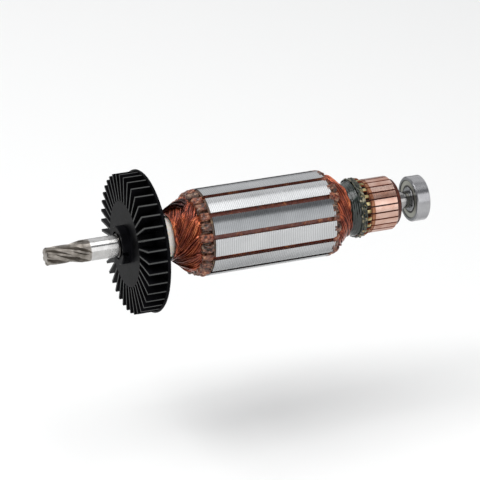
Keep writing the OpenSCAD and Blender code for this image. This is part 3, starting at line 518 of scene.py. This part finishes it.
def makeCommutatorCopper():
    # Silver-bearing copper: turned bright and pinkish on the brush track, brown as drawn on the neck,
    # flattened and scorched to gold on the hooks by the fusing electrode, red-brown between the bars
    material, place = patternedMaterial("turned commutator copper")
    x = add(material, "SeparateXYZ", {0: place}, out="X")
    low = span("commutator_bar_01")[0]
    neckStart, neckEnd = (low + commutatorFinish[key] * mm for key in ("neckStart", "neckEnd"))
    onTrack = add(material, "MapRange", {"Value": x, "From Min": neckEnd - 0.1 * mm,
                                        "From Max": neckEnd + 0.1 * mm})
    onHook = add(material, "MapRange", {"Value": x, "From Min": neckStart + 0.2 * mm,
                                       "From Max": neckStart - 0.3 * mm})
    top = add(material, "MapRange", {
        "Value": axisDistance(material, place), "From Min": commutatorFinish["hookRadius"] - 0.1,
        "From Max": commutatorFinish["hookRadius"] + 0.1})
    sideways = add(material, "MapRange", {"Value": outwardFacing(material, place), "From Min": 0.6,
                                         "From Max": 0.4})
    rings = grainPattern(material, place, commutatorFinish["line"], 33.3, 3)
    stains = add(material, "TexNoise", {"Vector": place, "Scale": scaleOf(commutatorFinish["stains"]),
                                        "Detail": 4})
    own = add(material, "ObjectInfo", out="Random")
    marks = add(material, "TexNoise", {
        "Vector": place, "Scale": scaleOf(commutatorFinish["marks"]), "Detail": 2,
        "W": add(material, "Math", {0: own, 1: 40}, operation="MULTIPLY")},  # each bar has its own
        noise_dimensions="4D")
    wear = add(material, "Math", {0: own, 1: 0.35, 2: marks}, operation="MULTIPLY_ADD")
    track = add(material, "ValToRGB", {"Fac": wear}, stops=[
        (0.45, commutatorFinish["track"]), (0.85, commutatorFinish["worn"])])
    neck = add(material, "ValToRGB", {"Fac": stains}, stops=[
        (0.3, commutatorFinish["neck"]), (0.7, commutatorFinish["neckPale"])])
    gold = add(material, "ValToRGB", {"Fac": stains}, stops=[
        (0.38, commutatorFinish["hook"]), (0.62, commutatorFinish["hookPale"])])
    hook = add(material, "Mix", {"Factor": top, 6: linear(commutatorFinish["coated"]), 7: gold}, out=2,
               data_type="RGBA")
    behind = add(material, "Mix", {"Factor": onHook, 6: neck, 7: hook}, out=2, data_type="RGBA")
    outside = add(material, "Mix", {"Factor": onTrack, 6: behind, 7: track}, out=2, data_type="RGBA")
    rough, turned = commutatorFinish["gloss"]
    setSurface(material, {
        "Base Color": add(material, "Mix", {"Factor": sideways, 6: outside,
                                           7: linear(commutatorFinish["slotSide"])},
                          out=2, data_type="RGBA"),
        "Metallic": add(material, "MapRange", {"Value": sideways, "To Min": 1, "To Max": 0.2}),
        "Specular IOR Level": 0.1,
        "Roughness": add(material, "MapRange", {"Value": onTrack, "To Min": rough, "To Max": turned}),
        "Normal": add(material, "Bump", {"Height": rings, "Distance": commutatorFinish["relief"] * mm})})
    return material


hubFinish = {
    "dark": "3d1b13", "pale": "582e23",
    "grain": (0.667, 1.43), "relief": 0.02,  # sizes, in mm
}


def makePhenolic():
    # Glass-filled phenolic, compression moulded and turned with the bars: dark brown, low gloss
    material, place = patternedMaterial("moulded phenolic")
    grain = grainPattern(material, place, *hubFinish["grain"], 4)
    setSurface(material, {
        "Base Color": add(material, "ValToRGB", {"Fac": grain}, stops=[
            (0.3, hubFinish["dark"]), (0.7, hubFinish["pale"])]),
        "Roughness": 0.42, "IOR": 1.6, "Specular IOR Level": 0.2,
        "Normal": add(material, "Bump", {"Height": grain, "Distance": hubFinish["relief"] * mm})})
    return material


resinFinish = {
    "thick": "070c0a", "middling": "121d19", "thin": "26332b",
    "cloud": 2.86, "relief": 0.12,  # sizes, in mm
}


def makeResin():
    # Twine and leads sealed with green-black banding resin: wet-looking, with paler thin spots
    material, place = patternedMaterial("green banding resin")
    cloud = add(material, "TexNoise", {"Vector": place, "Scale": scaleOf(resinFinish["cloud"]), "Detail": 4,
                                       "Roughness": 0.6})
    setSurface(material, {
        "Base Color": add(material, "ValToRGB", {"Fac": cloud}, stops=[
            (0.3, resinFinish["thick"]), (0.5, resinFinish["middling"]), (0.72, resinFinish["thin"])]),
        "Roughness": 0.15, "IOR": 1.5, "Specular IOR Level": 0.65,
        "Normal": add(material, "Bump", {"Height": cloud, "Distance": resinFinish["relief"] * mm})})
    return material


twineFinish = {
    "tones": [(0.4, "141a16"), (0.54, "363c31"), (0.63, "7d7660"), (0.71, "a9a28c")],
    "braid": 0.667, "lumps": 2.08, "relief": 0.25,  # sizes, in mm
}


def makeTwine():
    # Braided polyester lacing twine soaked in banding resin: dark green, with bare tan lumps
    material, place = patternedMaterial("resin-soaked lacing twine")
    braid, lumps = (add(material, "TexNoise", {"Vector": place, "Scale": scaleOf(twineFinish[key]),
                                               "Detail": detail})
                    for key, detail in (("braid", 3), ("lumps", 2)))
    setSurface(material, {
        "Base Color": add(material, "ValToRGB", {"Fac": lumps}, stops=twineFinish["tones"]),
        "Roughness": 0.32, "IOR": 1.5,
        "Normal": add(material, "Bump", {"Height": braid, "Distance": twineFinish["relief"] * mm})})
    return material


bearingFinish = {
    "ring": "aaaaac", "ringStain": "929295", "ringFace": "66686a",
    "ball": "cdcdd0", "ballStain": "c4c4c8",
    # The shield's dark edge colour is painted shade, for the gaps where it meets the rings
    "shield": "9c9d94", "gapShade": "2c2d2a",
    "shieldEdges": (5.7, 6.1, 7.6, 7.95),  # radii between which the shield is bright, in mm
    # Roughness, and width and relief of the fine lines in mm
    "ringLines": (0.2, 0.1205, 0.003), "shieldLines": (0.4, 0.2, 0.004), "ballLines": (0.06, 0.5, 0),
}


def makeRingSteel():
    # Bearing steel ground on centres: reflections stretched round the ring, and darker side faces
    material, place = makeRingedSteel("ground bearing steel", *bearingFinish["ringLines"])
    forward = add(material, "SeparateXYZ", {0: ownNormal(material)}, out="X")
    facing = add(material, "Math", {0: forward}, operation="ABSOLUTE")
    onFace = add(material, "MapRange", {"Value": facing, "From Min": 0.8, "From Max": 0.9})
    ground = stained(material, place, bearingFinish["ring"], bearingFinish["ringStain"])
    setSurface(material, {"Base Color": add(material, "Mix", {
        "Factor": onFace, 6: ground, 7: linear(bearingFinish["ringFace"])}, out=2, data_type="RGBA")})
    return material


def makeShieldSteel():
    # Pressed steel sheet: dull and greenish-grey, with painted shade in the gaps at both edges
    material, place = makeRingedSteel("pressed shield steel", *bearingFinish["shieldLines"])
    edges = bearingFinish["shieldEdges"]
    widest = 10
    distance = add(material, "MapRange", {"Value": axisDistance(material, place), "From Min": 0,
                                         "From Max": widest})
    # Painted shade at both edges, bright between them
    colours = [bearingFinish[key] for key in ("gapShade", "shield", "shield", "gapShade")]
    setSurface(material, {"Base Color": add(material, "ValToRGB", {"Fac": distance}, stops=[
        (radius / widest, colour) for radius, colour in zip(edges, colours)])})
    return material


def makeBallSteel():
    # Bearing steel lapped between plates: nearly a mirror, with faint streaks and no relief
    material, place = makeRingedSteel("lapped ball steel", *bearingFinish["ballLines"])
    setSurface(material, {"Base Color": stained(material, place, bearingFinish["ball"],
                                                bearingFinish["ballStain"])})
    return material


shaftSteel = makeShaftSteel()
fanNylon = makeFanNylon()
sleevePolyester = makeSleevePolyester()
coreSteel = makeCoreSteel()
endFibre = makeVarnishedFibre("varnished end fibre", *fibreFinish["endFibre"])
slotPaper = makeVarnishedFibre("varnished slot paper", *fibreFinish["slotPaper"])
wedgeFibre = makeVarnishedFibre("varnished slot wedge", *fibreFinish["slotWedge"])
# Winding varnish whose dark colour between the turns is painted shade
shadedWindingVarnish = makeVarnishedFibre("thick winding varnish", *fibreFinish["fill"])
setSurface(shadedWindingVarnish, {"Specular IOR Level": 0.15})
endPaper = makeEndPaper()
wireCopper = makeEnamelledCopper()
commutatorCopper = makeCommutatorCopper()
phenolic = makePhenolic()
bandingResin = makeResin()
lacingTwine = makeTwine()
ringSteel = makeRingSteel()
shieldSteel = makeShieldSteel()
ballSteel = makeBallSteel()

finishWith(["shaft"], shaftSteel)
finishWith(["fan"], fanNylon)
finishWith(["front_sleeve", "rear_sleeve"], sleevePolyester)
finishWith(["lamination_stack"], coreSteel)
finishWith(["front_end_insulator", "rear_end_insulator"], endFibre)
finishWith(["slot_papers"], slotPaper)
finishWith(["slot_wedges"], wedgeFibre)
finishWith(["coil_leads"], bandingResin)
finishWith(["commutator_hub"], phenolic)
finishWith(nodesNamed("commutator_bar"), commutatorCopper)
finishWith(["bearing_inner_ring", "bearing_outer_ring"], ringSteel)
finishWith(["bearing_balls"], ballSteel)
finishWith(nodesNamed("bearing_cage") + nodesNamed("bearing_shield"), shieldSteel)
print("materials ready")


def smoothMesh(name, points, faces, tones=None):  # some materials read the tone of each point
    mesh = bpy.data.meshes.new(name)
    mesh.from_pydata(points.tolist(), [], faces)
    mesh.shade_smooth()
    if tones is not None:
        mesh.attributes.new("tone", "FLOAT", "POINT").data.foreach_set("value", tones)
    return mesh


def anglesRound(count):  # even steps round a circle
    return np.arange(count) * 2 * np.pi / count


def unit(rows):
    return rows / np.linalg.norm(rows, axis=1)[:, None]


def awayFromAxis(path, ahead):  # away from the shaft's axis and square to the path's direction
    out = path * [0, 1, 1]
    return unit(out - ahead * np.sum(out * ahead, axis=1)[:, None])


def tubeMesh(name, paths, diameters, tones, closed, sides=5):
    # One mesh of round strands. Each path is an array of points, with a tone for each of them.
    points, faces, shade = [], [], []
    ring = anglesRound(sides)[:, None]
    for path, diameter, tone in zip(paths, diameters, tones):
        n = len(path)
        ahead = np.roll(path, -1, axis=0) - np.roll(path, 1, axis=0)
        if not closed:
            ahead[0], ahead[-1] = path[1] - path[0], path[-1] - path[-2]
        ahead = unit(ahead)
        out = awayFromAxis(path, ahead)
        side = np.cross(ahead, out)
        first = len(points) * sides
        for k in range(n):
            points.append(path[k] + diameter / 2 * (np.cos(ring) * out[k] + np.sin(ring) * side[k]))
        for k in range(n if closed else n - 1):
            a, b = first + k * sides, first + (k + 1) % n * sides
            faces += [(a + j, a + (j + 1) % sides, b + (j + 1) % sides, b + j) for j in range(sides)]
        if not closed:
            faces.append(tuple(first + j for j in reversed(range(sides))))
            faces.append(tuple(first + (n - 1) * sides + j for j in range(sides)))
        shade += np.repeat(tone, sides).tolist()
    return smoothMesh(name, np.concatenate(points), faces, shade)


def addPiece(name, mesh, material, body, replaced=()):
    piece = bpy.data.objects.new(name, mesh)
    bpy.context.scene.collection.objects.link(piece)
    mesh.materials.append(material)
    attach(piece, body)
    if replaced:
        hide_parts(*replaced)
    return piece


def smooth(u):  # from 0 to 1, flat at both ends
    v = np.clip(u, 0, 1)
    return v * v * (3 - 2 * v)


def leavingFlat(u, bend):  # from 0 to 1, flat at 0 and straight beyond the bend
    return (np.sqrt(u * u + bend) - math.sqrt(bend)) / (math.sqrt(1 + bend) - math.sqrt(bend))


def anyPhase():  # of a wave, in radians
    return random.uniform(0, 6.28)


def ripple(count, lobes, slants, turn, along):
    # Unevenness round the shaft: waves that each have their own number of lobes, start and slant
    waves = [(random.randint(*lobes), anyPhase(), random.uniform(*slants)) for _ in range(count)]
    return sum(np.sin(n * turn + phase + slant * along) for n, phase, slant in waves)


windings = {
    "wire": 0.52,  # diameter of a turn, in mm
    "across": 12, "deep": 3,  # turns across a coil and one on another
    "slots": coreFinish["slots"], "slotTurn": coreFinish["slotTurn"], "span": 150,  # degrees
    "lowerSlot": (10.0, 13.0), "upperSlot": (13.45, 15.35),  # radii that a coil's sides fill
    "slotWidths": (1.6, 2.6, 3.0, 3.9),  # at those radii
    # Radii of the upper arms' middle at a head's nose and beside the core, the power that shapes the
    # slope between them, the lower arms' radius at the nose, a coil's depth on the slope and at the
    # nose, its width there, and the turns' tones at the slot and at the nose, the darker of which is
    # painted shade: at the front head's nose beside the fan, at the rear head's slot end by the cuffs
    "front": {"nose": 8.8, "foot": 15.5, "power": 1.2, "inner": 8.7, "depth": 1.9, "noseDepth": 0.9,
              "noseWidth": 2.6, "tones": (0.5, 0.34)},
    "rear": {"nose": 10.5, "foot": 15.4, "power": 1.7, "inner": 9.6, "depth": 1.8, "noseDepth": 1.1,
             "noseWidth": 2.2, "tones": (0.3, 0.46)},
    "lastCoil": 3,  # wound last, so that its front arms lie on the others, dark with varnish
    "lastLift": 1.1,  # how far, in mm
    "lastTone": -0.4,  # added to its turns' tones
    "fill": 2.0,  # width of a coil against the room between its neighbours
    "shingle": 0.5,  # how far one edge of a coil tucks under its neighbour, in mm
    "wander": 0.2, "rise": 0.35,  # how far a turn strays inside its coil, as shares of its half sizes
    "swings": (2, 2.2),  # how quickly it strays aside and up
    "unevenLay": (0.08, 0.2),  # how far it lies from its place aside and up, as shares of them too
    "coilTone": 0.1, "turnTone": 0.2,  # how far the tone varies from coil to coil and turn to turn
    "lowerShare": 0.5,  # slope of the lower arms against that of the upper ones
    "clear": 0.3,  # from the slot paper to where the coils start to bend, and at their noses, in mm
    "lowerSteps": 14, "upperSteps": 28,
    "bends": (0.06, 0.012),  # how softly an arm leaves its slot sideways, and turns over at the nose
    # Shares of an arm's length over which its radius, width and depth change from those in the slot,
    # its turns come loose and lie down on the slope, and its depth changes to that of the nose
    "toRadius": 0.25, "toLift": 0.35, "toWidth": 0.4, "toDepth": 0.2, "toLoose": 0.35, "toSlope": 0.3,
    "toNose": 0.4,
    "crossing": 0.16,  # share over which a coil crosses from its lower to its upper arm
}


def slopeRadius(end, rise):  # of the upper arms, from beside the core (0) to the nose (1)
    return end["foot"] + (end["nose"] - end["foot"]) * np.clip(rise, 0, 1) ** end["power"]


def headFrame(end, startX, height, side, t, lift):
    # Centre, direction, depth direction and half sizes of a coil at steps t of a winding head:
    # 0 at the lower side in its slot, 1 at the nose and 2 at the upper side
    u = np.where(t <= 1, t, 2 - t)
    slotBend, noseBend = windings["bends"]
    share = leavingFlat(u, slotBend)
    rise = 1 - leavingFlat(1 - u, noseBend)
    angle = -math.radians(windings["span"] / 2) * np.where(t <= 1, share, 2 - share)
    lower, upper = windings["lowerSlot"], windings["upperSlot"]
    lowerMid, upperMid = sum(lower) / 2, sum(upper) / 2
    slope = slopeRadius(end, rise)
    inner = lowerMid + (end["inner"] - lowerMid) * rise
    outer = upperMid + (slope - upperMid) * smooth(u / windings["toRadius"])
    if lift:
        raised = slope + lift * np.sin(math.pi * np.clip(u, 0, 1)) ** 0.5
        inner = lowerMid + (raised - lowerMid) * smooth(u / windings["toLift"])
        outer = upperMid + (raised - upperMid) * smooth(u / windings["toLift"])
    radius = inner + (outer - inner) * smooth((t - 1) / windings["crossing"] + 0.5)
    centre = np.stack([startX + side * height * rise, radius * np.cos(angle), radius * np.sin(angle)], 1)
    ahead = np.gradient(centre, axis=0)
    ahead[0], ahead[-1] = (side, 0, 0), (-side, 0, 0)
    ahead = unit(ahead)
    up = awayFromAxis(centre, ahead)
    across = np.cross(up, ahead)
    room = windings["fill"] * np.abs(ahead[:, 0]) * radius * 2 * math.pi / windings["slots"]
    widths = windings["slotWidths"]
    slotWide = np.where(t <= 1, sum(widths[:2]) / 2, sum(widths[2:]) / 2)
    slotDeep = np.where(t <= 1, lower[1] - lower[0], upper[1] - upper[0])
    wide = slotWide + (np.maximum(room, end["noseWidth"]) - slotWide) * smooth(u / windings["toWidth"])
    deep = slotDeep + (end["depth"] - slotDeep) * smooth(u / windings["toDepth"])
    deep = deep + (end["noseDepth"] - end["depth"]) * smooth((u - 1) / windings["toNose"] + 1)
    return centre, across, up, wide / 2, deep / 2


def layOnSlope(end, startX, height, side, t, centre, points):
    # Turns beside the coil's middle lie nearer the core or the nose: gives them the radius of that place
    sought, found = (slopeRadius(end, (row[:, 0] - startX) * side / height) for row in (points, centre))
    lying = smooth(np.minimum(t, 2 - t) / windings["toSlope"])
    share = np.where(t <= 1, windings["lowerShare"], 1) * lying
    return points + unit(points * [0, 1, 1]) * ((sought - found) * share)[:, None]


def windCoil(k):
    # Closed turns that go through both slots and both heads of coil k
    t = np.concatenate([np.linspace(0, 1, windings["lowerSteps"])[:-1],
                        np.linspace(1, 2, windings["upperSteps"])])
    u = np.minimum(t, 2 - t)
    isLast = k == windings["lastCoil"]
    heads = []
    for key, side in (("front", -1), ("rear", 1)):
        end = windings[key]
        start = endAt("slot_papers", side) + side * windings["clear"]
        height = side * (endAt("coil_01", side) - endAt("slot_papers", side))
        height -= windings["clear"] + end["noseWidth"] / 2
        lift = windings["lastLift"] if isLast and key == "front" else 0
        heads.append((end, start, height, side, headFrame(end, start, height, side, t, lift)))
    spin = math.radians(windings["slotTurn"] + k * 360 / windings["slots"])
    turned = np.array([[1, 0, 0], [0, math.cos(spin), math.sin(spin)],
                       [0, -math.sin(spin), math.cos(spin)]])
    paths, tones = [], []
    coilTone, turnTone = windings["coilTone"], windings["turnTone"]
    base = windings["lastTone"] if isLast else random.uniform(-coilTone, coilTone)
    free = smooth(u / windings["toLoose"])
    aside, above = windings["unevenLay"]
    asideSwing, aboveSwing = windings["swings"]
    inset = windings["wire"] / 2
    for i in range(windings["across"]):
        for j in range(windings["deep"]):
            a0 = (2 * i + 1) / windings["across"] - 1 + random.uniform(-aside, aside)
            b0 = (2 * j + 1) / windings["deep"] - 1 + random.uniform(-above, above)
            own = base + random.uniform(-turnTone, turnTone)
            loop, shade = [], []
            for end, start, height, side, (centre, across, up, wide, deep) in heads:
                a = a0 + free * windings["wander"] * np.sin(asideSwing * t + anyPhase())
                b = b0 + free * windings["rise"] * np.sin(aboveSwing * t + anyPhase())
                lift = np.clip(b, -1, 1) * (deep - inset) + windings["shingle"] * free * a
                points = centre - across * (a * side * (wide - inset))[:, None] + up * lift[:, None]
                points = layOnSlope(end, start, height, side, t, centre, points)
                # Each turn's tone runs from its slot to its nose; the darker end is painted shade
                atSlot, atNose = end["tones"]
                loop.append(points[::-side])
                shade.append((own + atSlot + (atNose - atSlot) * u)[::-side])
            paths.append(np.concatenate(loop) @ turned * mm)
            tones.append(np.concatenate(shade))
    name = f"coil_{k + 1:02d}"
    mesh = tubeMesh(name + "_turns", paths, [windings["wire"] * mm] * len(paths), tones, True)
    addPiece(name + "_turns", mesh, wireCopper, "rotor", [name])


for k in range(windings["slots"]):
    windCoil(k)
print("coils wound")


headVarnish = {
    "under": 0.6,  # how far the varnish lies below the middle of the turns, in mm
    "fromCore": 4.6,  # clear of the slots, so that the coils' bundles stand free there
    "fromNose": 1.2,  # how far it stays behind the coils' noses
    "rows": 20, "facets": 96,
}


def turnedMesh(name, xs, radii, facets, tones=None):
    # A surface of revolution, uneven where a row of places or radii differs from facet to facet
    turn = anglesRound(facets)
    xs, radii = (np.broadcast_to(rows.reshape(len(rows), -1), (len(rows), facets))
                 for rows in (xs, radii))
    points = np.stack([xs, radii * np.cos(turn), radii * np.sin(turn)], 2).reshape(-1, 3) * mm
    faces = [(i * facets + j, i * facets + (j + 1) % facets, (i + 1) * facets + (j + 1) % facets,
              (i + 1) * facets + j) for i in range(len(xs) - 1) for j in range(facets)]
    return smoothMesh(name, points, faces, None if tones is None else tones.ravel())


def makeHeadVarnish(key, side):
    # The varnish that closes the inside of a winding head: real varnish, dark as painted shade between the
    # turns
    start = endAt("lamination_stack", side) + side * headVarnish["fromCore"]
    tip = endAt("coil_01", side) - side * headVarnish["fromNose"]
    end = windings[key]
    u = np.linspace(0, 1, headVarnish["rows"])
    low, high = end["nose"] - headVarnish["under"], end["foot"] - headVarnish["under"]
    radii = np.concatenate([[low], high + (low - high) * u ** end["power"]])
    xs = np.concatenate([[start], start + (tip - start) * u])
    mesh = turnedMesh("varnish_" + key, xs, radii, headVarnish["facets"])
    addPiece("varnish_" + key, mesh, shadedWindingVarnish, "rotor")


endVarnish = {
    # Each ring starts beyond the core's end, or runs over the core where its start is below zero
    "front": {"start": 0.85, "length": 4.2, "radius": 17.5, "far": 16.6},
    "rear": {"start": -0.8, "length": 3.5, "radius": 18.0, "far": 16.6},
    "film": 0.12,  # thickness left on the core after grinding, in mm
    "groove": 1.5,  # depth between the lumps, in mm
    "spread": 0.4,  # unevenness of the lumps' heights, in mm
    "reach": 1.1,  # unevenness of their lengths, in mm
    "ripple": 0.064,  # unevenness of their surface, the height of each wave, in mm
    "inside": 10.5,  # radius where the rings end, inside the coils
    "crown": 0.55,  # share of a lump that is level
    "waves": 24, "lobes": (12, 70), "slants": (-9, 9),  # of the ripple
    "slotTones": (0.55, 1), "toothTones": (0, 0.5),  # from grey-brown (0) to coppery (1)
    "toneRipple": 0.05,  # how far each wave changes the tone
    "rows": 14, "facets": 360,
}


def makeEndVarnish(key, side):
    # Two lumps of paper and varnish for each slot: a cuff round the coil and a bridge over the tooth
    end, facets = endVarnish[key], endVarnish["facets"]
    face = endAt("lamination_stack", side) + side * end["start"]
    lumps = 2 * windings["slots"]
    turn = anglesRound(facets)
    place = (turn - math.radians(windings["slotTurn"])) / (2 * math.pi / lumps)
    lump = np.round(place).astype(int) % lumps
    fromMiddle = np.abs(place - np.round(place)) * 2
    heights, lengths = (np.array([random.uniform(-1, 1) for _ in range(lumps)]) for _ in range(2))
    crown = 1 - smooth((fromMiddle - endVarnish["crown"]) / (1 - endVarnish["crown"]))
    u = np.linspace(0, 1, endVarnish["rows"])[:, None]
    waves = ripple(endVarnish["waves"], endVarnish["lobes"], endVarnish["slants"], turn, u)
    radii = (end["radius"] + (end["far"] - end["radius"]) * u ** 2 + endVarnish["spread"] * heights[lump]
             - endVarnish["groove"] * (1 - crown) + endVarnish["ripple"] * waves)
    radii = np.minimum(radii, outerRadius("lamination_stack") + endVarnish["film"])
    xs = face + side * u * (end["length"] + endVarnish["reach"] * lengths[lump] * crown)
    hem = np.full((1, facets), endVarnish["inside"])
    shades = np.array([random.uniform(*endVarnish["toothTones" if k % 2 else "slotTones"])
                       for k in range(lumps)])
    tones = np.clip(shades[lump] + endVarnish["toneRipple"] * waves, 0, 1) * crown
    mesh = turnedMesh("end_varnish_" + key, np.vstack([xs[:1], xs, xs[-1:]]),
                      np.vstack([hem, radii, hem]), facets, np.vstack([tones[:1], tones, tones[-1:]]))
    addPiece("end_varnish_" + key, mesh, endPaper, "rotor")


for key, side in (("front", -1), ("rear", 1)):
    makeHeadVarnish(key, side)
    makeEndVarnish(key, side)
print("heads varnished")


banding = {
    "step": 2.1,  # from the collar's big radius down to its small one, in mm
    # Outline of the collar: its slope from the winding up, along the shaft and above the small radius,
    # and its rim by the hooks, from the far end and from the big radius, in mm
    "slope": ((0, -0.9), (0.05, 0), (0.3, 0.35), (1.2, 0.75), (2, 1.15), (2.8, 1.5), (3.4, 1.85)),
    "rim": ((-0.35, -0.3), (-0.1, -0.5), (0, -1.2)),
    "lumps": 0.0111,  # unevenness of the resin, the height of each wave, in mm
    "waves": 26, "lobes": (3, 30), "slants": (0, 3),  # of that
    "sunk": 0.1,  # how far the resin lies inside the outline on average, in mm
    "ridge": 0.07, "ridgePitch": 0.8,  # of the turns that show under the resin, in mm
    "evenStart": 0.4,  # where the outline starts it is even, in mm
    "skin": 0.02,  # how far the resin stays inside the big radius, in mm
    "rows": 60, "facets": 180,
}


def makeBanding():
    # The collar of resin over twine and leads, in place of the plain one
    low, high = (place / mm for place in span("twine_band"))
    big = outerRadius("twine_band")
    small = big - banding["step"]
    outline = [(along, small + above) for along, above in banding["slope"]]
    outline += [(high - low + along, big + above) for along, above in banding["rim"]]
    steps = np.linspace(0, len(outline) - 1, banding["rows"])
    xs, plain = (np.interp(steps, range(len(outline)), column)[:, None] for column in zip(*outline))
    turn = anglesRound(banding["facets"])
    lumps = ripple(banding["waves"], banding["lobes"], banding["slants"], turn, xs)
    ridges = np.sin(2 * math.pi * xs / banding["ridgePitch"] + turn)
    uneven = banding["lumps"] * lumps - banding["sunk"] + banding["ridge"] * (ridges - 1)
    radii = np.minimum(plain + uneven * smooth(xs / banding["evenStart"]), big - banding["skin"])
    mesh = turnedMesh("resin_collar", low + xs, radii, banding["facets"])
    addPiece("resin_collar", mesh, bandingResin, "rotor", ["twine_band"])


lacing = {
    "twine": 0.85,  # diameter, in mm
    "turns": 3,  # side by side on the hooks' ends
    "radius": 12,  # of the turns' middle, in mm
    "start": -0.5,  # from the bars' hooked ends along the shaft, in mm
    "uneven": 0.04,  # of its lay, the height of each wave, in mm
    "waves": 24, "lobes": (6, 40),  # of that
    "steps": 120, "sides": 10,  # of the twine's mesh, in each turn and round the twine
}


def makeLacing():
    # One run of twine in close turns over the hooks' ends
    start = endAt("commutator_bar_01", -1) + lacing["start"]
    turn = np.linspace(0, lacing["turns"] * 2 * math.pi, lacing["turns"] * lacing["steps"])
    waves = [(random.uniform(*lacing["lobes"]), anyPhase()) for _ in range(lacing["waves"])]
    aside, above = (lacing["uneven"] * sum(np.sin(n * turn + phase + shift) for n, phase in waves)
                    for shift in (0, 2))
    radii = lacing["radius"] + above
    path = np.stack([start + turn / (2 * math.pi) * lacing["twine"] + aside,
                     radii * np.cos(turn), radii * np.sin(turn)], 1) * mm
    mesh = tubeMesh("lacing_twine", [path], [lacing["twine"] * mm], [turn * 0], False, lacing["sides"])
    addPiece("lacing_twine", mesh, lacingTwine, "rotor")


makeLacing()
makeBanding()
print("banding made")
